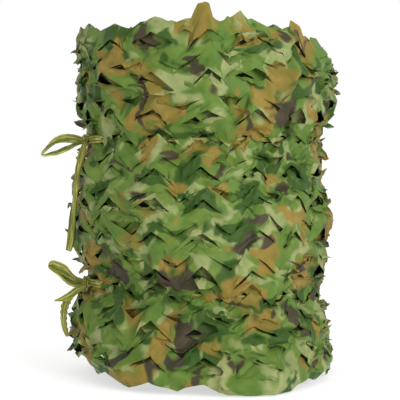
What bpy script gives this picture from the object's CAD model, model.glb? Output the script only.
"""Looks of the camouflage net roll: printed, slit cloth wound into a roll and tied twice."""

import math
import random

import bmesh
import bpy
from bpy.props import FloatProperty, FloatVectorProperty, IntProperty, PointerProperty
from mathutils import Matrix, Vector, noise


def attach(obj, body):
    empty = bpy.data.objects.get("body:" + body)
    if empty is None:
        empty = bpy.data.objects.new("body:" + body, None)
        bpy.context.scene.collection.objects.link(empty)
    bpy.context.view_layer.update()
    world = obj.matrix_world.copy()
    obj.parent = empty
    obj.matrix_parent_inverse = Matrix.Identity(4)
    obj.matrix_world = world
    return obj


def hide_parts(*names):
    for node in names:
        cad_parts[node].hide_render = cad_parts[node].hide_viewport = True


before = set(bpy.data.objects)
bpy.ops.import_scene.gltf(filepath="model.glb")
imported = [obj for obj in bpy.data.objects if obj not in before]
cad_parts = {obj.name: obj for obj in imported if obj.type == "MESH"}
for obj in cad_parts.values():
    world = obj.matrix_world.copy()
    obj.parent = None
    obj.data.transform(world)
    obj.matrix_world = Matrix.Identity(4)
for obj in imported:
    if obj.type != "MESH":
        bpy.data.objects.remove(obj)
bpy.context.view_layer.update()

bl_info = {
    "name": "Camouflage net roll",
    "version": (1, 0, 0),
    "blender": (4, 5, 0),
    "location": "3D View > Sidebar > Net roll",
    "description": "Builds a rolled camouflage net of slit, printed cloth with two knotted ties",
    "category": "Add Mesh",
}


def linear(value):
    """One 8-bit screen value as the linear value that shaders take."""
    share = value / 255
    return share / 12.92 if share <= 0.04045 else ((share + 0.055) / 1.055) ** 2.4


def colour_property(name, description, r, g, b):
    return FloatVectorProperty(
        name=name,
        description=description,
        subtype="COLOR",
        size=4,
        min=0.0,
        max=1.0,
        default=(linear(r), linear(g), linear(b), 1.0),
    )


def length_property(name, description, metres):
    return FloatProperty(name=name, description=description, default=metres, unit="LENGTH")


class NetSizes(bpy.types.PropertyGroup):
    """Sizes of the net's cloth and of its cuts"""

    cuts_round: IntProperty(name="Cuts round", description="Leaf cuts in one ring of the net", default=16)
    cut_spacing: length_property(
        "Cut spacing", "From the middle of one cut to the next along a line", 0.0535
    )
    cut_half: FloatProperty(
        name="Cut share", description="Half of a cut's length, as a share of the cut spacing", default=0.37
    )
    zigzag: length_property("Zigzag", "Half of the height of the chevrons that the cuts follow", 0.0095)
    strip: length_property("Strip", "Cloth between two lines of cuts", 0.0195)
    thickness: length_property("Thickness", "Thickness of the net's cloth", 0.0004)


class NetColours(bpy.types.PropertyGroup):
    """Colours of the print"""

    mid_green: colour_property("Mid green", "Ground colour of the print", 87, 112, 45)
    sage: colour_property("Sage", "Palest patches", 131, 140, 88)
    dark_green: colour_property("Dark green", "Deep green patches", 51, 77, 26)
    ochre: colour_property("Ochre", "Tan patches", 124, 107, 46)
    grey_brown: colour_property("Grey brown", "Darkest patches", 64, 58, 42)


class TieSettings(bpy.types.PropertyGroup):
    """Sizes and colours of the two ties"""

    width: length_property("Width", "Width of the bunched strip", 0.0092)
    cloth_width: length_property("Cloth width", "Width of the strip before it is bunched", 0.0150)
    thickness: length_property("Thickness", "Thickness of the strip's cloth", 0.0005)
    olive: colour_property("Olive", "Ground colour of the strip", 126, 130, 60)
    straw: colour_property("Straw", "Where the strip's folds catch the light", 170, 166, 88)
    moss: colour_property("Moss", "Printed streaks of the strip", 88, 102, 42)


# ---- shape of the wound net ---------------------------------------------------------------

TIE_HEIGHTS = {"tie_lower": 0.102, "tie_upper": 0.252}
FLOOR_GAP = 0.0012  # height of the middle of the cloth where it lies on the floor
TIE_TILT = 0.0065  # how far the lower tie's middle lies below its knot
LOOSE_EDGE = math.radians(57.0)
END_HEIGHT = 0.368
KNOT_ANGLE = math.radians(194.0)
LANE_ANGLE = math.radians(197.5)  # where the free ends hang down below the knots

CORNER_SAG = 0.026  # drop of the rim at the sagged corner on the right
CORNER_ANGLE = math.radians(10.0)
CORNER_BULGE = 0.0045  # how far the sagged cloth bulges out there
SIDE_BULGE = 0.0085  # how far the cloth between the ties bulges out on the left
SIDE_ANGLE = math.radians(170.0)
FOOT_SPREAD = 0.0260  # how far the foot spreads out in front
FOOT_ANGLE = math.radians(-66.0)
TOE_SPREAD = 0.0130  # how much further the cloth reaches where it lies flat on the floor
TOE_ANGLE = math.radians(-67.0)
HEM_LIFT = 0.0090  # how far the hem hangs off the floor on the left
HEM_ANGLE = math.radians(188.0)
RIM_DIP = 0.0070  # how much lower the rim lies at the left front
RIM_DIP_ANGLE = math.radians(222.0)
RIM_FLARE = 0.0050  # how far the rim stands out on the left, where it isn't sagged
RIM_ANGLE = math.radians(185.0)

# Mean radius of the outermost turn at each height.
PROFILE = [
    # height, radius
    (0.000, 0.111),
    (0.004, 0.118),
    (0.012, 0.1250),
    (0.028, 0.1305),
    (0.055, 0.1330),
    (0.080, 0.1300),
    (0.094, 0.1240),
    (0.102, 0.1225),
    (0.110, 0.1240),
    (0.126, 0.1280),
    (0.175, 0.1305),
    (0.228, 0.1280),
    (0.242, 0.1240),
    (0.252, 0.1225),
    (0.262, 0.1245),
    (0.278, 0.1300),
    (0.305, 0.1335),
    (0.336, 0.1330),
    (0.356, 0.1315),
    (0.372, 0.1275),
    (0.390, 0.1235),
]

NOISE_SEED = 1795547628  # sets where the smooth random vectors of the crumple are read
MEAN_RADIUS = 0.13
WAIST_RADIUS = 0.1155  # radius of the strips of cloth that the ties are pulled tight on
TIED_RADIUS = 0.1190  # radius of the ties, where the loose cloth lies on them
TIE_HALF = 0.004  # half of a tie's height there
JUMBLE_REACH = 0.010  # how far from the end of a cut the cloth is pushed about
DEEPEST_DENT = 0.0035

CORE_FOOT = 0.003
CORE_HEIGHT = 0.352
CORE_TOP = 0.355
END_DISH = 0.012  # how much lower the middle of the top end lies
RIM_HELD_RADIUS = 0.112  # the end turns outside this are held by the rim
FOOT_RADIUS = 0.090
FOOT_PITCH = 0.011  # from one turn to the next in the foot

# The knots: their middle's distance from the roll's axis and the wraps that they are made of.
KNOT_DISTANCE = 0.1262
KNOT_WRAPS = [
    # radius, tilt in degrees, how far it is moved out
    (0.0040, 25, 0.001),
    (0.0046, -50, -0.0015),
    (0.0034, 80, 0.0),
]

# Strips of cloth that lie under the ties, counted from the foot.
TIED_STRIPS = (5, 15)

# Heights of the zigzag lines of cuts, foot to top. Tips hang from even lines and stand up at odd ones.
CUT_LINES = [
    0.0070, 0.027, 0.0455, 0.064, 0.082, 0.1000,
    0.1040, 0.1210, 0.1375, 0.1535, 0.1692, 0.1846, 0.2000, 0.2158, 0.2322, 0.2500,
    0.2540, 0.273, 0.2922, 0.3114, 0.3308, 0.3505, 0.3710,
]  # fmt: skip

# Leaves of the outermost turn that stand up from its rim.
RIM_LEAVES = [
    # angle in degrees, height, half of its width in degrees
    (269.5, 0.0130, 4.8),
    (284.5, 0.0090, 7.0),
    (260, 0.0030, 6.0),
    (319, 0.0075, 5.0),
    (334, 0.0060, 6.0),
    (190, 0.0040, 6.0),
    (95, 0.0070, 5.0),
    (142, 0.0050, 5.0),
    (40, 0.0060, 5.0),
]

# How the three bulges of the roll are crumpled, from the bottom one up.
BULGES = [
    # top, chance that a standing leaf flops out, most bend of a hanging leaf, drift of the rows, jumble
    (0.102, 0.42, 1.6, 0.0040, 0.90),
    (0.252, 0.32, 0.9, 0.0044, 0.70),
    (0.500, 0.40, 1.6, 0.0040, 0.88),
]


def smooth_step(low, high, value):
    """0 below low, 1 above high and a soft change between them."""
    share = min(1.0, max(0.0, (value - low) / (high - low)))
    return share * share * (3.0 - 2.0 * share)


def table_value(rows, key):
    """Second column of a table for a value of its first, eased between rows."""
    if key <= rows[0][0]:
        return rows[0][1]
    for (low, a), (high, b) in zip(rows, rows[1:]):
        if key <= high:
            return a + (b - a) * smooth_step(low, high, key)
    return rows[-1][1]


def bulge_at(height):
    return next(row for row in BULGES if height < row[0])


def zigzag_wave(turns):
    """Chevron: +1 at whole numbers and -1 half way between them."""
    return 4.0 * abs(turns % 1.0 - 0.5) - 1.0


def away_from_ties(height):
    """0 under the ties, 1 from the middle of a bulge on."""
    return min(smooth_step(0.002, 0.018, abs(height - tie)) for tie in TIE_HEIGHTS.values())


def near_knots(angle, height):
    """1 beside the knots and the free ends below them, 0 elsewhere."""
    off = abs(math.remainder(angle - LANE_ANGLE, 2 * math.pi))
    side = 1 - smooth_step(math.radians(3.5), math.radians(8.5), off)
    below = max(1.0 if 0.125 < height < 0.266 else 0.0, 1.0 if 0.034 < height < 0.116 else 0.0)
    return side * below


def wave(point, scale, seed):
    """Smooth random vector that varies over the roll."""
    return noise.noise_vector(point * scale + Vector((seed, -0.7 * seed, 1.9 * seed)))


def waist_bulge(angle, height):
    """How far the roll is out of round at its ties."""
    round_off = 0.0022 * math.cos(2 * angle + 0.6) + 0.0010 * math.cos(3 * angle - 0.4)
    return round_off * (1 - away_from_ties(height))


def side_share(angle, middle):
    """1 at the middle of one side of the roll, 0 from a quarter turn away on."""
    return max(0.0, math.cos(angle - middle)) ** 2


def toe_share(angle):
    """1 where the cloth lies flat on the floor in front of the foot, 0 elsewhere."""
    off = abs(math.remainder(angle - TOE_ANGLE, 2 * math.pi))
    return 1 - smooth_step(math.radians(4), math.radians(26), off)


def uneven(angle, height):
    """How far the roll stands out beyond its profile, at its foot, on its left and at its rim."""
    foot = FOOT_SPREAD * (0.5 + 0.5 * math.cos(angle - FOOT_ANGLE)) ** 1.5 + TOE_SPREAD * toe_share(angle)
    spread = foot * (1 - smooth_step(0.002, 0.045, height))
    between = smooth_step(0.110, 0.140, height) * (1 - smooth_step(0.215, 0.245, height))
    below = smooth_step(0.008, 0.030, height) * (1 - smooth_step(0.070, 0.095, height))
    side = SIDE_BULGE * side_share(angle, SIDE_ANGLE) * (between + 0.7 * below)
    corner = CORNER_BULGE * side_share(angle, CORNER_ANGLE) * smooth_step(0.262, 0.310, height)
    rim = RIM_FLARE * side_share(angle, RIM_ANGLE) ** 2 * smooth_step(0.325, 0.375, height)
    return spread + side + corner + rim


def surface_radius(angle, height):
    """Radius of the outermost turn: a little out of round, with soft lumps between the ties."""
    ring = Vector((math.cos(angle), math.sin(angle), height * 9.0)) * 1.7
    lumps = 0.0045 * noise.noise(ring) + 0.0025 * noise.noise(ring * 2.3)
    shape = table_value(PROFILE, height) + uneven(angle, height)
    return shape + lumps * away_from_ties(height) + waist_bulge(angle, height)


def settled(angle, height):
    """Height after the sags of the rim, the lift of the hem and the lower tie's tilt."""
    sag = CORNER_SAG * side_share(angle, CORNER_ANGLE) + RIM_DIP * side_share(angle, RIM_DIP_ANGLE) ** 4
    sag *= smooth_step(0.300, END_HEIGHT, height)
    lift = HEM_LIFT * side_share(angle, HEM_ANGLE) ** 2 * (1 - smooth_step(0.0, 0.060, height))
    tie = TIE_HEIGHTS["tie_lower"]
    near = smooth_step(0.012, tie, height) * (1 - smooth_step(tie, 0.190, height))
    return height - sag + lift - TIE_TILT * (1 + math.cos(angle)) * near


def rim_leaf(angle):
    """How far the leaves of the rim stand up at an angle."""
    reach = 0.0
    for degrees, height, half in RIM_LEAVES:
        off = abs(math.degrees(math.remainder(angle - math.radians(degrees), 2 * math.pi))) / half
        reach = max(reach, height * (1 - smooth_step(0.55, 1.00, off)))
    return reach


def line_height(v):
    """Height of a row of cloth, counted in strips from the first line of cuts."""
    last = len(CUT_LINES) - 1
    low = min(max(int(v), 0), last - 1)
    return CUT_LINES[low] + (CUT_LINES[low + 1] - CUT_LINES[low]) * (v - low)


# ---- making cloth -------------------------------------------------------------------------


def linked_object(name, bm):
    """A finished bmesh as an object in the scene, shaded smooth."""
    for face in bm.faces:
        face.smooth = True
    mesh = bpy.data.meshes.new(name)
    bm.to_mesh(mesh)
    bm.free()
    made = bpy.data.objects.new(name, mesh)
    bpy.context.scene.collection.objects.link(made)
    return made


def dress(piece, node, slot, *titles):
    """Gives a piece its materials and says which part of the frame it stands for."""
    for title in titles:
        piece.data.materials.append(bpy.data.materials[title])
    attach(piece, "root")
    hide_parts(node)


def add_wall(piece, thickness):
    wall = piece.modifiers.new("cloth thickness", "SOLIDIFY")
    wall.thickness = thickness
    wall.offset = 0.0
    return wall


def thicken(piece, thickness):
    """Gives a sheet its thickness, with its back in the second material and crisp cut edges."""
    add_wall(piece, thickness).material_offset = 1
    graph = bpy.context.evaluated_depsgraph_get()
    solid = bpy.data.meshes.new_from_object(piece.evaluated_get(graph))
    piece.modifiers.clear()
    sheet = piece.data
    piece.data = solid
    solid.name = piece.name
    bpy.data.meshes.remove(sheet)
    solid.set_sharp_from_angle(angle=math.radians(32))


def weigh(piece, title, weights):
    """Makes a vertex group of one weight per vertex."""
    group = piece.vertex_groups.new(name=title)
    for index, weight in enumerate(weights):
        if weight > 0:
            group.add([index], weight, "REPLACE")


def settle(piece, body, frames, slack=0.0, gravity=0.15):
    """Lets the cloth crumple and hang against a body, then keeps the shape that it came to.

    Its vertex group held pins it, and its shape key flat holds the cloth's true lengths.
    """
    scene = bpy.context.scene
    body.modifiers.new("touch", "COLLISION")
    body.collision.thickness_outer = 0.001
    body.collision.thickness_inner = 0.002
    body.collision.cloth_friction = 8.0
    cloth = piece.modifiers.new("settle", "CLOTH")
    values = cloth.settings
    values.quality = 6
    values.mass = 0.15
    values.tension_stiffness = 12.0
    values.compression_stiffness = 12.0
    values.shear_stiffness = 5.0
    values.bending_stiffness = 0.01
    values.air_damping = 2.0
    values.shrink_min = -slack
    if piece.data.shape_keys:
        values.rest_shape_key = piece.data.shape_keys.key_blocks["flat"]
    values.vertex_group_mass = "held"
    values.pin_stiffness = 1.0
    values.effector_weights.gravity = gravity
    touch = cloth.collision_settings
    touch.distance_min = 0.001
    touch.use_self_collision = True
    touch.self_distance_min = 0.0009
    touch.self_friction = 5.0
    touch.collision_quality = 2
    cloth.point_cache.frame_start = 1
    cloth.point_cache.frame_end = frames
    for number in range(1, frames + 1):
        scene.frame_set(number)
    graph = bpy.context.evaluated_depsgraph_get()
    hung = bpy.data.meshes.new_from_object(piece.evaluated_get(graph))
    for vert in hung.vertices:
        vert.co.z = max(vert.co.z, FLOOR_GAP)
    piece.modifiers.clear()
    flat = piece.data
    piece.data = hung
    hung.name = piece.name
    bpy.data.meshes.remove(flat)
    body.modifiers.clear()
    scene.frame_set(1)


def folded(reach, turn):
    """How far a leaf reaches on and stands out, beyond its fold, once it is bent over by an angle."""
    steps = 8
    on, out = 0.0, 0.0
    for n in range(steps):
        angle = turn * smooth_step(-0.001, 0.004, reach * (n + 0.5) / steps)
        on += math.cos(angle) * reach / steps
        out += math.sin(angle) * reach / steps
    return on, out


def make_turn(name, seed, inset, turns, shift, columns, rows, calm, lift):
    """One turn of the net: a grid, slit along its zigzag lines and wound on the roll.

    Every leaf between two cuts is bent out or tucked in by its own angle. Lift raises the hem.
    """
    sizes = bpy.context.scene.net_sizes
    rounds = sizes.cuts_round
    last = len(CUT_LINES) - 1
    chance = random.Random(seed)
    bm = bmesh.new()
    across = round(columns * rounds * turns)
    bmesh.ops.create_grid(bm, x_segments=across, y_segments=rows * last, size=0.5)
    uv_layer = bm.loops.layers.uv.new("cloth")
    strip_of = bm.verts.layers.int.new("strip")
    u_of = bm.verts.layers.float.new("u")
    v_of = bm.verts.layers.float.new("v")
    for vert in bm.verts:
        vert[u_of] = (vert.co.x + 0.5) * across / columns
        vert[v_of] = round((vert.co.y + 0.5) * rows * last) / rows

    def cut_place(u, line):
        """Offset from the middle of the nearest cut of a line, in cut spacings."""
        return (u + shift + 0.5 * (line % 2) + 0.5) % 1.0 - 0.5

    def cut_number(u, line):
        return math.floor(u + shift + 0.5 * (line % 2) + 0.5)

    slit = []
    for edge in bm.edges:
        a, b = edge.verts
        line = a[v_of]
        if line != b[v_of] or line != round(line) or line in (0, last):
            continue
        if abs(cut_place(0.5 * (a[u_of] + b[u_of]), round(line))) < sizes.cut_half:
            slit.append(edge)
    bmesh.ops.split_edges(bm, edges=slit)
    for vert in bm.verts:
        lows = [min(other[v_of] for other in face.verts) for face in vert.link_faces]
        vert[strip_of] = math.floor(min(lows) + 1e-6)

    leaves = {}

    def leaf_bend(line, number, hangs):
        """Angle that a leaf is bent out by, the slope of its fold and its distance from the cut's ends."""
        key = (line, number, hangs)
        if key in leaves:
            return leaves[key]
        _, flop, most, _, _ = bulge_at(line_height(line))
        lean = chance.uniform(-0.35, 0.35)
        deep = chance.uniform(0.0, 0.004)
        angle = LOOSE_EDGE + 2 * math.pi * (number - shift - 0.5 * (line % 2)) / rounds
        if abs(math.cos(angle)) > 0.88 and chance.random() < 0.7:
            turn = chance.uniform(0.8, 1.7)
        elif chance.random() < (0.5 * flop if hangs else flop):
            turn = chance.uniform(1.0, 2.8)
        else:
            turn = chance.uniform(0.2, most) if hangs else chance.uniform(-0.50, 0.0)
        by_tie = line - 1 in TIED_STRIPS if hangs else line in TIED_STRIPS
        leaves[key] = (0.2 * min(turn, 1.0) if by_tie else turn * calm, lean, deep)
        return leaves[key]

    poses = {}

    def node_pose(line, number):
        """How the cloth between two cuts is pushed about: move, spin, tilt and turn."""
        if (line, number) not in poses:
            move = Vector((chance.gauss(0, 0.005), chance.gauss(0, 0.004), chance.uniform(-0.002, 0.005)))
            poses[line, number] = (move, chance.gauss(0, 0.55), chance.gauss(0, 0.45), chance.gauss(0, 0.45))
        return poses[line, number]

    nodes = {}

    def chance_of_node(line, number):
        return nodes.setdefault((line, number), chance.random() < 0.75)

    cut_end = zigzag_wave(sizes.cut_half + 0.5)

    def leaf_reach(u, v, line, way):
        """How far a place is beyond the line that joins the ends of its cut: way is 1 up, -1 down."""
        chevron = way * zigzag_wave(u + shift + 0.5)
        return way * (v - line) * sizes.strip + sizes.zigzag * (cut_end + chevron)

    held = []
    flat = []
    for vert in bm.verts:
        u, v, strip = vert[u_of], vert[v_of], vert[strip_of]
        angle = LOOSE_EDGE + 2 * math.pi * u / rounds
        base = line_height(v)
        near = away_from_ties(base)
        lane = near_knots(angle, base)
        node = v == round(v) and 0 < v < last and abs(cut_place(u, int(v))) > sizes.cut_half - 0.4 / columns
        tied = strip in TIED_STRIPS or (node and (v in TIED_STRIPS or v - 1 in TIED_STRIPS))
        chevron = sizes.zigzag * zigzag_wave(u + shift + 0.5)
        above = max(0.0, v - last + 1)
        standing = rim_leaf(angle) * above if lift == 0.0 else 0.0
        flat.append(Vector((u * sizes.cut_spacing, 0.0, v * sizes.strip + chevron + standing)))
        flat_hem = toe_share(angle) * max(0.0, 1 - v)
        chevron *= 1 - 0.6 * above - 0.5 * max(0.0, 1 - v) - 0.4 * flat_hem
        hem = lift * (1 - smooth_step(0.0, 0.050, base))
        height = max(base + chevron + hem - 0.004 * flat_hem, FLOOR_GAP) + standing
        point = Vector((math.cos(angle) * MEAN_RADIUS, math.sin(angle) * MEAN_RADIUS, height))
        _, _, most, drift, jumble = bulge_at(base)
        slow = wave(point, 17, seed)
        fast = wave(point, 52, seed + 3.3)
        jumble *= near * (1 - 0.7 * lane)
        out = near * (0.0042 * slow.x + 0.0020 * fast.x)
        rise = near * (drift * slow.y + 0.0016 * fast.y)
        slide = near * (drift * slow.z + 0.0016 * fast.z)
        for line in (int(v), int(v) + 1):
            if line < 1 or line > last - 1:
                continue
            place = u + shift + 0.5 * (line % 2) - 0.5
            number = round(place)
            du = (place - number) * sizes.cut_spacing
            dv = (v - line) * sizes.strip
            weight = jumble * math.exp(-(du**2 + dv**2) / (2 * JUMBLE_REACH**2))
            move, spin, tilt, turn = node_pose(line, number)
            slide += weight * (move.x - dv * math.sin(spin) - du * (1 - math.cos(spin)))
            rise += weight * (move.y + du * math.sin(spin) - dv * (1 - math.cos(spin)))
            out += weight * (move.z + dv * math.sin(tilt) + du * math.sin(turn))
        out = max(out, -DEEPEST_DENT)
        rise += 0.004 * above * wave(point, 33, seed + 9.1).y
        for hangs, line in ((True, strip), (False, strip + 1)):
            if line in (0, last):
                continue
            place = cut_place(u, line) / sizes.cut_half
            if abs(place) >= 1.0:
                continue
            turn, lean, deep = leaf_bend(line, cut_number(u, line), hangs)
            turn *= 1 - 0.8 * lane
            if hangs == (line % 2 == 0):
                # The leaf is the cloth between its cut and the line that joins the cut's two ends.
                reach = leaf_reach(u, v, line, -1 if hangs else 1) - deep
                reach += lean * place * sizes.cut_half * sizes.cut_spacing
                if reach <= 0.0:
                    continue
                on, stands = folded(reach, turn * min(1.0, 3.0 * (1 - abs(place))))
            else:
                reach = sizes.strip * (strip + 1 - v if hangs else v - strip)
                on, stands = folded(reach, (0.25 * most if hangs else -0.10) * (1 - place**2))
            out += stands
            rise += (reach - on) * (1 if hangs else -1)
        winding = 0.006 * (u / (rounds * turns) - 0.5)
        if tied:
            radius = WAIST_RADIUS - 0.3 * inset + waist_bulge(angle, base)
        else:
            radius = surface_radius(angle, height) - inset + winding * near + out * (1 - 0.6 * lane)
        angle += slide / MEAN_RADIUS
        z = max(settled(angle, height + rise), FLOOR_GAP)
        vert.co = Vector((radius * math.cos(angle), radius * math.sin(angle), z))

        weight = 1.0 if tied or (node and chance_of_node(round(v), cut_number(u + 0.5, round(v)))) else 0.0
        if v < 0.2 and abs(zigzag_wave(u + shift)) > 0.7 and zigzag_wave(u + shift) < 0:
            weight = 1.0
        if standing > 0.003 or (v > last - 0.2 and zigzag_wave(u + shift + 0.5) > 0.5):
            weight = 1.0
        held.append(weight)
    for face in bm.faces:
        for loop in face.loops:
            u, v = loop.vert[u_of], loop.vert[v_of]
            rise = v * sizes.strip + sizes.zigzag * zigzag_wave(u + shift + 0.5)
            loop[uv_layer].uv = (u * sizes.cut_spacing, rise)
    made = linked_object(name, bm)
    weigh(made, "held", held)
    made.shape_key_add(name="Basis")
    key = made.shape_key_add(name="flat")
    for place, point in zip(flat, key.data):
        point.co = place
    return made, (sizes.cut_spacing * across / columns, sizes.strip * last)


def spun_body(points, steps):
    """A bmesh turned round the roll's axis from a line of points."""
    bm = bmesh.new()
    line = [bm.verts.new(point) for point in points]
    edges = [bm.edges.new(pair) for pair in zip(line, line[1:])]
    bmesh.ops.spin(
        bm,
        geom=line + edges,
        cent=(0, 0, 0),
        axis=(0, 0, 1),
        angle=2 * math.pi,
        steps=steps,
        use_merge=True,
    )
    bmesh.ops.remove_doubles(bm, verts=bm.verts, dist=1e-6)
    return bm


def make_core(name, inset, over_ties=False):
    """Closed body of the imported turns, this far inside the outermost one."""
    count = 80
    heights = [CORE_FOOT + CORE_HEIGHT * n / count for n in range(count + 1)]

    def body_radius(z):
        tie = min(abs(z - tie) for tie in TIE_HEIGHTS.values())
        if over_ties and tie < TIE_HALF:
            return TIED_RADIUS
        tucked = 0.082 + 1.6 * z
        return min(table_value(PROFILE, z) - inset, WAIST_RADIUS - 0.004 + 2.0 * tie, tucked)

    points = [(0.0, 0.0, heights[0])]
    points += [(body_radius(z), 0.0, z) for z in heights]
    points.append((0.0, 0.0, heights[-1] - END_DISH))
    bm = spun_body(points, 96)
    for vert in bm.verts:
        reach = math.hypot(vert.co.x, vert.co.y)
        if reach > 0.01:
            angle = math.atan2(vert.co.y, vert.co.x)
            share = smooth_step(0.010, 0.040, vert.co.z)
            beyond = surface_radius(angle, vert.co.z) - table_value(PROFILE, vert.co.z)
            radius = reach + share * beyond
            vert.co.x, vert.co.y = radius * math.cos(angle), radius * math.sin(angle)
            vert.co.z = settled(angle, vert.co.z)
    bm.normal_update()
    bmesh.ops.recalc_face_normals(bm, faces=bm.faces)
    return linked_object(name, bm)


def make_end_turns(name, seed, first_radius, pitch, phase, columns, rows):
    """The upper edges of the inner turns: one long slit strip, wound in a spiral on the top end."""
    sizes = bpy.context.scene.net_sizes
    strips = 2
    length = 0.0
    path = []
    angle = phase
    radius = first_radius
    step = sizes.cut_spacing / columns
    while radius > 0.010:
        path.append((angle, radius))
        turn = step / radius
        angle += turn
        radius -= pitch * turn / (2 * math.pi)
        length += step
    across = len(path) - 1
    bm = bmesh.new()
    bmesh.ops.create_grid(bm, x_segments=across, y_segments=rows * strips, size=0.5)
    uv_layer = bm.loops.layers.uv.new("cloth")
    u_of = bm.verts.layers.float.new("u")
    v_of = bm.verts.layers.float.new("v")
    for vert in bm.verts:
        vert[u_of] = round((vert.co.x + 0.5) * across) / columns
        vert[v_of] = round((vert.co.y + 0.5) * rows * strips) / rows
    slit = []
    for edge in bm.edges:
        a, b = edge.verts
        middle = 0.5 * (a[u_of] + b[u_of])
        if a[v_of] == b[v_of] == 1.0 and abs((middle + 0.5) % 1.0 - 0.5) < sizes.cut_half:
            slit.append(edge)
    bmesh.ops.split_edges(bm, edges=slit)
    held = []
    for vert in bm.verts:
        u, v = vert[u_of], vert[v_of]
        angle, radius = path[min(round(u * columns), across)]
        radius *= surface_radius(angle, CORE_TOP) / table_value(PROFILE, CORE_TOP)
        place = Vector((math.cos(angle), math.sin(angle), 0.0))
        slow = wave(place * radius, 45, seed)
        fast = wave(Vector((u * 0.6, v * 0.3, seed)), 3.0, seed)
        lean = 0.006 * slow.x + 0.004 * fast.x
        dish = END_DISH * (1 - smooth_step(0.035, 0.120, radius))
        rise = END_HEIGHT - 0.002 - dish - (strips - v) * sizes.strip * 0.85
        rise += 0.6 * sizes.zigzag * zigzag_wave(u) * v / strips + 0.006 * slow.y * v / strips
        out = radius + lean * (0.3 + v) + 0.004 * fast.y * v
        vert.co = place * max(out, 0.004)
        vert.co.z = settled(angle, rise)
        held.append(1.0 if v < 0.3 or (radius > RIM_HELD_RADIUS and v <= 1.0) else 0.0)
    for face in bm.faces:
        for loop in face.loops:
            u, v = loop.vert[u_of], loop.vert[v_of]
            rise = v * sizes.strip + sizes.zigzag * zigzag_wave(u)
            loop[uv_layer].uv = (u * sizes.cut_spacing + seed, rise)
    made = linked_object(name, bm)
    weigh(made, "held", held)
    return made, (length, strips * sizes.strip)


def make_foot(name):
    """The lower edges of the turns, pressed flat where the roll stands on them."""
    count = 45
    bm = spun_body([(FOOT_RADIUS * n / count, 0.0, 0.0) for n in range(count + 1)], 120)
    uv_layer = bm.loops.layers.uv.new("cloth")
    for vert in bm.verts:
        radius = math.hypot(vert.co.x, vert.co.y)
        angle = math.atan2(vert.co.y, vert.co.x)
        turn = radius / FOOT_PITCH + angle / (2 * math.pi)
        leaf = noise.noise(Vector((vert.co.x, vert.co.y, 0.4)) * 55)
        fold = abs(math.sin(math.pi * turn)) * 0.004
        edge = 0.006 * smooth_step(0.080, FOOT_RADIUS, radius)
        vert.co.z = 0.0008 + max(0.0, 0.0042 - fold + 0.004 * leaf) + edge
    for face in bm.faces:
        middle = face.calc_center_median()
        radius = math.hypot(middle.x, middle.y)
        turn = math.floor(radius / FOOT_PITCH + math.atan2(middle.y, middle.x) / (2 * math.pi))
        for loop in face.loops:
            loop[uv_layer].uv = (loop.vert.co.x + 0.37 * turn, loop.vert.co.y + 0.11 * turn)
    bm.normal_update()
    for face in bm.faces:
        if face.normal.z > 0:
            face.normal_flip()
    return linked_object(name, bm)


# ---- ties ---------------------------------------------------------------------------------

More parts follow.
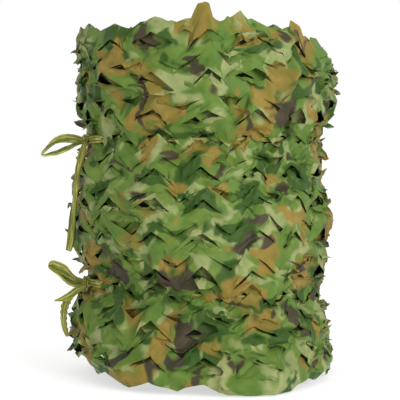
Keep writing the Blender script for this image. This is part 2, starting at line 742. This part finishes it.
# Free runs of each tie. Facing is the compass direction, in degrees from +X, that the width of
# the strip points along, rise lifts that direction from level, and spread widens the strip.
TIE_RUNS = {
    "tie_upper": {
        "loop": [
            # x, y, z, facing, rise, spread
            (-0.1243, -0.0320, 0.2516, 90, 50, 0.70),
            (-0.1327, -0.0345, 0.2521, 90, 70, 0.95),
            (-0.1433, -0.0360, 0.2532, 90, 72, 1.00),
            (-0.1517, -0.0365, 0.2518, 90, 62, 0.90),
            (-0.1591, -0.0362, 0.2479, 90, 40, 0.75),
            (-0.1660, -0.0355, 0.2416, 90, 20, 0.65),
            (-0.1697, -0.0350, 0.2368, 90, 5, 0.60),
            (-0.1665, -0.0345, 0.2358, 90, 15, 0.60),
            (-0.1602, -0.0340, 0.2374, 90, 30, 0.65),
            (-0.1538, -0.0335, 0.2389, 90, 42, 0.70),
            (-0.1465, -0.0332, 0.2421, 90, 48, 0.70),
            (-0.1401, -0.0328, 0.2447, 90, 45, 0.65),
            (-0.1327, -0.0322, 0.2479, 90, 38, 0.60),
            (-0.1254, -0.0315, 0.2495, 90, 30, 0.55),
        ],
        "tail": [
            (-0.1239, -0.0340, 0.2505, -50, 0, 0.70),
            (-0.1272, -0.0440, 0.2375, -35, 0, 0.90),
            (-0.1303, -0.0490, 0.2227, -35, 0, 0.85),
            (-0.1318, -0.0505, 0.2078, -55, 0, 0.85),
            (-0.1335, -0.0503, 0.1927, -60, 0, 0.85),
            (-0.1358, -0.0490, 0.1780, -50, 0, 0.90),
            (-0.1375, -0.0470, 0.1630, -35, 0, 0.95),
            (-0.1392, -0.0440, 0.1480, -25, 0, 0.95),
            (-0.1420, -0.0410, 0.1354, -30, 0, 0.70),
        ],
    },
    "tie_lower": {
        "loop": [
            (-0.1264, -0.0320, 0.1023, 90, 40, 0.60),
            (-0.1359, -0.0342, 0.1050, 90, 60, 0.65),
            (-0.1422, -0.0355, 0.1097, 90, 72, 0.85),
            (-0.1475, -0.0360, 0.1145, 90, 75, 1.15),
            (-0.1538, -0.0360, 0.1176, 90, 75, 1.20),
            (-0.1596, -0.0355, 0.1197, 90, 62, 1.00),
            (-0.1622, -0.0350, 0.1180, 90, 20, 0.80),
            (-0.1591, -0.0345, 0.1148, 90, 15, 0.70),
            (-0.1517, -0.0340, 0.1100, 90, 25, 0.70),
            (-0.1454, -0.0335, 0.1050, 90, 50, 0.75),
            (-0.1391, -0.0330, 0.1008, 90, 60, 0.75),
            (-0.1306, -0.0322, 0.0987, 90, 50, 0.65),
            (-0.1235, -0.0312, 0.0995, 90, 40, 0.60),
        ],
        "short_end": [
            (-0.1243, -0.0335, 0.0976, 70, 55, 0.65),
            (-0.1327, -0.0375, 0.0934, 70, 65, 0.80),
            (-0.1412, -0.0395, 0.0868, 65, 70, 0.85),
            (-0.1486, -0.0400, 0.0839, 60, 65, 0.55),
            (-0.1568, -0.0400, 0.0824, 60, 50, 0.10),
        ],
        "tail": [
            (-0.1265, -0.0318, 0.0970, -60, 0, 0.60),
            (-0.1370, -0.0350, 0.0910, -40, 0, 0.90),
            (-0.1428, -0.0365, 0.0844, -25, 0, 0.95),
            (-0.1458, -0.0370, 0.0780, -20, 0, 0.90),
            (-0.1474, -0.0372, 0.0705, -20, 0, 0.80),
            (-0.1476, -0.0372, 0.0630, -20, 0, 0.74),
            (-0.1468, -0.0372, 0.0555, -25, 0, 0.70),
            (-0.1452, -0.0368, 0.0495, -30, 0, 0.66),
            (-0.1432, -0.0362, 0.0440, -35, 0, 0.50),
        ],
    },
}


def curve_value(t, a, b, c, d):
    """Catmull-Rom curve between b and c."""
    bend = (2 * a - 5 * b + 4 * c - d) * t**2
    return 0.5 * (2 * b + (c - a) * t + bend + (3 * b - a - 3 * c + d) * t**3)


def smooth_line(points, steps):
    """Curve through rows of numbers, with so many steps between two rows."""
    line = []
    last = len(points) - 1
    for i in range(last):
        before, start = points[max(i - 1, 0)], points[i]
        end, after = points[i + 1], points[min(i + 2, last)]
        for n in range(steps):
            columns = zip(before, start, end, after)
            line.append(tuple(curve_value(n / steps, *column) for column in columns))
    line.append(tuple(points[-1]))
    return line


def add_ribbon(bm, uv_layer, line, seed, teeth=0.0, closed=False):
    """Adds a bunched strip of cloth along rows of (x, y, z, facing, rise, spread) to a bmesh.

    Its section is folded lengthwise. Teeth is how far the cut edge is notched. Returns its length.
    """
    tie = bpy.context.scene.net_ties
    across = 10
    along = len(line) - 1
    made = bmesh.ops.create_grid(bm, x_segments=along, y_segments=across, size=0.5)["verts"]
    places = [Vector(row[:3]) for row in line]
    travel = [0.0]
    for a, b in zip(places, places[1:]):
        travel.append(travel[-1] + (b - a).length)
    flat = {}
    for vert in made:
        i = round((vert.co.x + 0.5) * along)
        share = 2 * round((vert.co.y + 0.5) * across) / across - 1
        before, after = max(i - 1, 0), min(i + 1, along)
        if closed and i in (0, along):
            before, after = along - 1, 1
        forward = (places[after] - places[before]).normalized()
        facing, rise, spread = line[i][3:]
        level = Vector((math.cos(math.radians(facing)), math.sin(math.radians(facing)), 0.0))
        wide = level * math.cos(math.radians(rise)) + Vector((0, 0, math.sin(math.radians(rise))))
        wide = (wide - forward * wide.dot(forward)).normalized()
        through = forward.cross(wide)
        drift = noise.noise(Vector((travel[i] * 55, seed, 0.0)))
        fold = 0.0016 * math.cos(3.0 * math.pi * share + 2.0 * drift) + 0.0012 * drift * share
        half = 0.5 * tie.width * spread
        if teeth and abs(share) == 1.0:
            half += teeth * (2 * abs((travel[i] / 0.0062) % 1.0 - 0.5) - 0.5)
        vert.co = places[i] + wide * (share * half) + through * fold * min(1.0, spread)
        flat[vert] = (travel[i], share * 0.5 * tie.cloth_width)
    for face in {face for vert in made for face in vert.link_faces}:
        for loop in face.loops:
            s, t = flat[loop.vert]
            loop[uv_layer].uv = (s + seed, t)
    return travel[-1]


def ring_line(count, height, shift):
    """Rows of a ribbon that runs round the roll at a tie."""
    rows = []
    for n in range(count + 1):
        angle = 2 * math.pi * n / count
        wobble = noise.noise(Vector((3 * math.cos(angle), 3 * math.sin(angle), shift)))
        ahead = math.degrees(math.remainder(angle - KNOT_ANGLE, 2 * math.pi))
        loose = 1 - smooth_step(9.0, 17.0, abs(ahead - 4.0))
        radius = WAIST_RADIUS + 0.0018 + 0.0075 * loose + waist_bulge(angle, height)
        z = settled(angle, height) + 0.0012 * wobble
        facing = math.degrees(angle)
        rows.append((radius * math.cos(angle), radius * math.sin(angle), z, facing, 82, 0.50 + 0.40 * loose))
    return rows


def knot_line(centre, out, along, radius, tilt, count):
    """Rows of a strip wrapped round the knot, its plane turned by a tilt in degrees."""
    rows = []
    up = Vector((0, 0, 1))
    side = along * math.cos(math.radians(tilt)) + out * math.sin(math.radians(tilt))
    axis = side.cross(up)
    facing = math.degrees(math.atan2(axis.y, axis.x))
    for n in range(count + 1):
        angle = 2 * math.pi * n / count
        place = centre + side * (radius * math.cos(angle)) + up * (1.15 * radius * math.sin(angle))
        rows.append((*place, facing, 0, 0.75))
    return rows


def make_tie(name):
    """One tie: its band round the roll, knot, loop and free ends, all of one cut strip."""
    height = TIE_HEIGHTS[name]
    bm = bmesh.new()
    uv_layer = bm.loops.layers.uv.new("cloth")
    length = add_ribbon(bm, uv_layer, ring_line(128, height, 1.0), 0.3, closed=True)
    for number, (run, rows) in enumerate(TIE_RUNS[name].items()):
        teeth = 0.0016 if (name, run) == ("tie_lower", "tail") else 0.0003
        length += add_ribbon(bm, uv_layer, smooth_line(rows, 6), 1.7 + number, teeth)
    out = Vector((math.cos(KNOT_ANGLE), math.sin(KNOT_ANGLE), 0.0))
    along = Vector((-out.y, out.x, 0.0))
    centre = out * KNOT_DISTANCE + Vector((0, 0, settled(KNOT_ANGLE, height)))
    for number, (radius, tilt, move) in enumerate(KNOT_WRAPS):
        rows = knot_line(centre + out * move, out, along, radius, tilt, 18)
        length += add_ribbon(bm, uv_layer, rows, 5.1 + number, closed=True)
    bm.normal_update()
    return linked_object(name + "_strip", bm), length


# ---- materials ----------------------------------------------------------------------------


def new_material(name):
    made = bpy.data.materials.new(name)
    made.use_nodes = True
    return made, made.node_tree.nodes, made.node_tree.links


def patch_mask(nodes, links, vector, offset, scale, threshold, soft):
    """Mask of soft-edged patches: a cloud of noise, cut off at a threshold."""
    move = nodes.new("ShaderNodeMapping")
    move.inputs["Location"].default_value = (offset, 0.37 * offset, 0.71 * offset)
    links.new(vector, move.inputs["Vector"])
    cloud = nodes.new("ShaderNodeTexNoise")
    cloud.inputs["Scale"].default_value = scale
    cloud.inputs["Detail"].default_value = 2.5
    cloud.inputs["Distortion"].default_value = 0.5
    links.new(move.outputs["Vector"], cloud.inputs["Vector"])
    edge = nodes.new("ShaderNodeMapRange")
    edge.interpolation_type = "SMOOTHSTEP"
    edge.inputs["From Min"].default_value = threshold - soft
    edge.inputs["From Max"].default_value = threshold + soft
    links.new(cloud.outputs["Fac"], edge.inputs["Value"])
    return edge.outputs["Result"]


def mixed(nodes, links, factor, first, second, blend="MIX"):
    """Colour mix node. Factor, first and second are sockets or plain values."""
    mix = nodes.new("ShaderNodeMix")
    mix.data_type = "RGBA"
    mix.blend_type = blend
    for socket, value in ((mix.inputs["Factor"], factor), (mix.inputs[6], first), (mix.inputs[7], second)):
        if isinstance(value, bpy.types.NodeSocket):
            links.new(value, socket)
        else:
            socket.default_value = value
    return mix.outputs[2]


def woodland_group():
    """Node group: the soft-edged woodland print, read from the cloth's own flat coordinates."""
    group = bpy.data.node_groups.new("woodland print", "ShaderNodeTree")
    titles = ["Mid green", "Sage", "Dark green", "Ochre", "Grey brown"]
    group.interface.new_socket("Vector", in_out="INPUT", socket_type="NodeSocketVector")
    for title in titles:
        group.interface.new_socket(title, in_out="INPUT", socket_type="NodeSocketColor")
    group.interface.new_socket("Color", in_out="OUTPUT", socket_type="NodeSocketColor")
    nodes, links = group.nodes, group.links
    inlet = nodes.new("NodeGroupInput")
    outlet = nodes.new("NodeGroupOutput")
    vector = inlet.outputs["Vector"]
    colour = inlet.outputs["Mid green"]
    patches = [
        # colour, offset of its noise, scale, threshold, softness
        ("Sage", 3.1, 30.0, 0.548, 0.038),
        ("Dark green", 11.7, 34.0, 0.555, 0.032),
        ("Ochre", 23.9, 24.0, 0.570, 0.036),
        ("Grey brown", 37.3, 25.0, 0.618, 0.022),
    ]
    for title, offset, scale, threshold, soft in patches:
        mask = patch_mask(nodes, links, vector, offset, scale, threshold, soft)
        colour = mixed(nodes, links, mask, colour, inlet.outputs[title])
    fade = patch_mask(nodes, links, vector, 51.3, 75.0, 0.50, 0.20)
    faded = mixed(nodes, links, 1.0, colour, (1.17, 1.07, 1.16, 1.0), "MULTIPLY")
    dimmed = mixed(nodes, links, 1.0, colour, (0.76, 0.86, 0.80, 1.0), "MULTIPLY")
    links.new(mixed(nodes, links, fade, dimmed, faded), outlet.inputs["Color"])
    return group


def weave_group():
    """Node group: height of the cloth's crumple and of its fine weave."""
    group = bpy.data.node_groups.new("crumple and weave", "ShaderNodeTree")
    group.interface.new_socket("Vector", in_out="INPUT", socket_type="NodeSocketVector")
    group.interface.new_socket("Height", in_out="OUTPUT", socket_type="NodeSocketFloat")
    nodes, links = group.nodes, group.links
    inlet = nodes.new("NodeGroupInput")
    outlet = nodes.new("NodeGroupOutput")
    crease = nodes.new("ShaderNodeTexNoise")
    crease.noise_type = "RIDGED_MULTIFRACTAL"
    crease.inputs["Scale"].default_value = 70.0
    crease.inputs["Detail"].default_value = 2.0
    crease.inputs["Distortion"].default_value = 0.8
    links.new(inlet.outputs["Vector"], crease.inputs["Vector"])
    total = crease.outputs["Fac"]
    for turn in (0.0, math.pi / 2):
        thread = nodes.new("ShaderNodeTexWave")
        thread.inputs["Scale"].default_value = 420.0
        spin = nodes.new("ShaderNodeMapping")
        spin.inputs["Rotation"].default_value = (0, 0, turn)
        links.new(inlet.outputs["Vector"], spin.inputs["Vector"])
        links.new(spin.outputs["Vector"], thread.inputs["Vector"])
        add = nodes.new("ShaderNodeMath")
        add.operation = "MULTIPLY_ADD"
        links.new(thread.outputs["Fac"], add.inputs[0])
        add.inputs[1].default_value = 0.02
        links.new(total, add.inputs[2])
        total = add.outputs[0]
    links.new(total, outlet.inputs["Height"])
    return group


def flat_coordinates(nodes):
    flat = nodes.new("ShaderNodeUVMap")
    flat.uv_map = "cloth"
    return flat.outputs["UV"]


def cloth_finish(nodes, links, vector, strength):
    """Satin cloth: sheen, soft gloss and the bump of its creases and weave."""
    shader = nodes["Principled BSDF"]
    shader.inputs["Roughness"].default_value = 0.5
    shader.inputs["Specular IOR Level"].default_value = 0.12
    shader.inputs["Sheen Weight"].default_value = 0.02
    shader.inputs["Sheen Roughness"].default_value = 0.45
    relief = nodes.new("ShaderNodeGroup")
    relief.node_tree = bpy.data.node_groups["crumple and weave"]
    links.new(vector, relief.inputs["Vector"])
    bump = nodes.new("ShaderNodeBump")
    bump.inputs["Strength"].default_value = strength
    bump.inputs["Distance"].default_value = 0.0015
    links.new(relief.outputs["Height"], bump.inputs["Height"])
    links.new(bump.outputs["Normal"], shader.inputs["Normal"])
    return shader


def print_material(name, pale, shade=1.0, flat=True):
    """Printed cloth. Pale is how far its colours are washed out, as on the back of the print.

    Shade darkens them. A body that has no flat coordinates takes the print from its own place.
    """
    colours = bpy.context.scene.net_colours
    made, nodes, links = new_material(name)
    vector = flat_coordinates(nodes) if flat else nodes.new("ShaderNodeTexCoord").outputs["Object"]
    shader = cloth_finish(nodes, links, vector, 0.35)
    pattern = nodes.new("ShaderNodeGroup")
    pattern.node_tree = bpy.data.node_groups["woodland print"]
    links.new(vector, pattern.inputs["Vector"])
    for title in ("mid_green", "sage", "dark_green", "ochre", "grey_brown"):
        colour = [shade * (c + (s - c) * pale) for c, s in zip(getattr(colours, title), colours.sage)]
        pattern.inputs[title.replace("_", " ").capitalize()].default_value = colour
    links.new(pattern.outputs["Color"], shader.inputs["Base Color"])
    return made


def tie_material():
    """Olive strip with straw and moss streaks along its length."""
    tie = bpy.context.scene.net_ties
    made, nodes, links = new_material("tie cloth")
    vector = flat_coordinates(nodes)
    shader = cloth_finish(nodes, links, vector, 0.3)
    stretch = nodes.new("ShaderNodeMapping")
    stretch.inputs["Scale"].default_value = (1.0, 6.0, 1.0)
    links.new(vector, stretch.inputs["Vector"])
    pale = patch_mask(nodes, links, stretch.outputs["Vector"], 2.7, 42.0, 0.53, 0.07)
    moss = patch_mask(nodes, links, stretch.outputs["Vector"], 8.9, 34.0, 0.56, 0.06)
    colour = mixed(nodes, links, pale, tuple(tie.olive), tuple(tie.straw))
    colour = mixed(nodes, links, moss, colour, tuple(tie.moss))
    links.new(colour, shader.inputs["Base Color"])
    return made


# ---- operators ----------------------------------------------------------------------------

LAMP_AIM = (0, 0, 0.2)
CAMERA_PLACE = (-0.003, -1.5, 0.2516)
CAMERA_AIM = (-0.003, 0.0, 0.187)


class NET_OT_materials(bpy.types.Operator):
    """Make the printed cloth and the tie cloth"""

    bl_idname = "net.materials"
    bl_label = "Cloth materials"

    def execute(self, context):
        woodland_group()
        weave_group()
        print_material("net cloth face", 0.0)
        print_material("net cloth back", 0.50)
        print_material("net cloth inside", 0.0, 0.62, False)
        tie_material()
        return {"FINISHED"}


class NET_OT_core(bpy.types.Operator):
    """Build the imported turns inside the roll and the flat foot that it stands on"""

    bl_idname = "net.core"
    bl_label = "Packed turns"

    def execute(self, context):
        core = make_core("net_packed_turns", 0.013)
        dress(core, "net_roll", "net_cloth", "net cloth inside")
        foot = make_foot("net_foot")
        dress(foot, "net_roll", "net_cloth", "net cloth face")
        return {"FINISHED"}


class NET_OT_turns(bpy.types.Operator):
    """Build the two outermost turns of the net"""

    bl_idname = "net.turns"
    bl_label = "Outer turns"

    def execute(self, context):
        turns = [
            # name, seed, inset, turns, shift, columns, rows, calm, lift, inset of the body it rests on
            ("net_second_turn", 8, 0.0050, 1.0, 0.37, 10, 4, 0.7, 0.008, 0.011),
            ("net_outer_turn", 5, 0.0000, 1.1, 0.00, 14, 6, 1.0, 0.000, 0.0035),
        ]
        for name, seed, inset, wound, shift, columns, rows, calm, lift, rest in turns:
            made, flat = make_turn(name, seed, inset, wound, shift, columns, rows, calm, lift)
            body = make_core(name + "_rest", rest, True)
            settle(made, body, 20)
            bpy.data.objects.remove(body)
            thicken(made, context.scene.net_sizes.thickness)
            dress(made, "net_roll", "net_cloth", "net cloth face", "net cloth back")
        return {"FINISHED"}


class NET_OT_end_turns(bpy.types.Operator):
    """Build the wound edges on the top end"""

    bl_idname = "net.end_turns"
    bl_label = "End turns"

    def execute(self, context):
        made, flat = make_end_turns("net_end_turns", 3, 0.1262, 0.0078, 0.4, 7, 3)
        settle(made, bpy.data.objects["net_packed_turns"], 14, 0.10, gravity=0.6)
        thicken(made, context.scene.net_sizes.thickness)
        dress(made, "net_roll", "net_cloth", "net cloth face", "net cloth back")
        return {"FINISHED"}


class NET_OT_ties(bpy.types.Operator):
    """Build the two knotted ties"""

    bl_idname = "net.ties"
    bl_label = "Ties"

    def execute(self, context):
        tie = context.scene.net_ties
        for name in TIE_HEIGHTS:
            made, length = make_tie(name)
            add_wall(made, tie.thickness)
            dress(made, name, "tie_cloth", "tie cloth")
        return {"FINISHED"}


def aimed(name, data, place, target):
    """A lamp or camera in the scene that looks at a point."""
    made = bpy.data.objects.new(name, data)
    made.location = place
    made.rotation_mode = "QUATERNION"
    made.rotation_quaternion = (Vector(target) - Vector(place)).to_track_quat("-Z", "Y")
    bpy.context.scene.collection.objects.link(made)
    return made


class NET_OT_stage(bpy.types.Operator):
    """Build the floor, lights and camera"""

    bl_idname = "net.stage"
    bl_label = "Stage"

    def execute(self, context):
        scene = context.scene
        bm = bmesh.new()
        bmesh.ops.create_grid(bm, x_segments=1, y_segments=1, size=6.0)
        floor = linked_object("floor", bm)
        paper, nodes, links = new_material("floor paper")
        shader = nodes["Principled BSDF"]
        shader.inputs["Base Color"].default_value = (0.50, 0.50, 0.50, 1)
        shader.inputs["Roughness"].default_value = 0.9
        shader.inputs["Specular IOR Level"].default_value = 0.0
        shader.inputs["Emission Color"].default_value = (1, 1, 1, 1)
        shader.inputs["Emission Strength"].default_value = 0.60
        floor.data.materials.append(paper)
        world = bpy.data.worlds.new("studio")
        scene.world = world
        world.use_nodes = True
        backdrop = world.node_tree.nodes["Background"]
        backdrop.inputs["Color"].default_value = (1, 1, 1, 1)
        glow = world.node_tree.nodes.new("ShaderNodeMapRange")
        seen = world.node_tree.nodes.new("ShaderNodeLightPath")
        glow.inputs["To Min"].default_value = 0.88
        glow.inputs["To Max"].default_value = 1.0
        world.node_tree.links.new(seen.outputs["Is Camera Ray"], glow.inputs["Value"])
        world.node_tree.links.new(glow.outputs["Result"], backdrop.inputs["Strength"])
        lights = [
            # name, place, size, power
            ("key", (1.3, -1.9, 0.75), 1.1, 38),
            ("fill", (-1.7, -1.4, 1.0), 1.4, 4),
        ]
        for name, place, size, power in lights:
            lamp = bpy.data.lights.new(name, "AREA")
            lamp.size = size
            lamp.energy = power
            aimed(name, lamp, place, LAMP_AIM)
        lens = bpy.data.cameras.new("camera")
        lens.lens = 125.0
        lens.sensor_width = 36.0
        scene.camera = aimed("camera", lens, CAMERA_PLACE, CAMERA_AIM)
        scene.view_settings.view_transform = "Standard"
        return {"FINISHED"}


STEPS = (NET_OT_materials, NET_OT_core, NET_OT_turns, NET_OT_end_turns, NET_OT_ties, NET_OT_stage)


class NET_PT_panel(bpy.types.Panel):
    """Sidebar panel with the sizes, the colours and the steps"""

    bl_label = "Net roll"
    bl_idname = "NET_PT_panel"
    bl_space_type = "VIEW_3D"
    bl_region_type = "UI"
    bl_category = "Net roll"

    def draw(self, context):
        scene = context.scene
        for group in (scene.net_sizes, scene.net_colours, scene.net_ties):
            box = self.layout.box()
            for key in group.__annotations__:
                box.prop(group, key)
        for step in STEPS:
            self.layout.operator(step.bl_idname)


CLASSES = (NetSizes, NetColours, TieSettings, *STEPS, NET_PT_panel)


def register():
    noise.seed_set(NOISE_SEED)
    for cls in CLASSES:
        bpy.utils.register_class(cls)
    bpy.types.Scene.net_sizes = PointerProperty(type=NetSizes)
    bpy.types.Scene.net_colours = PointerProperty(type=NetColours)
    bpy.types.Scene.net_ties = PointerProperty(type=TieSettings)


def unregister():
    del bpy.types.Scene.net_ties
    del bpy.types.Scene.net_colours
    del bpy.types.Scene.net_sizes
    for cls in reversed(CLASSES):
        bpy.utils.unregister_class(cls)


def main():
    register()
    bpy.ops.net.materials()
    bpy.ops.net.core()
    bpy.ops.net.turns()
    bpy.ops.net.end_turns()
    bpy.ops.net.ties()
    bpy.ops.net.stage()


if __name__ == "__main__":
    main()
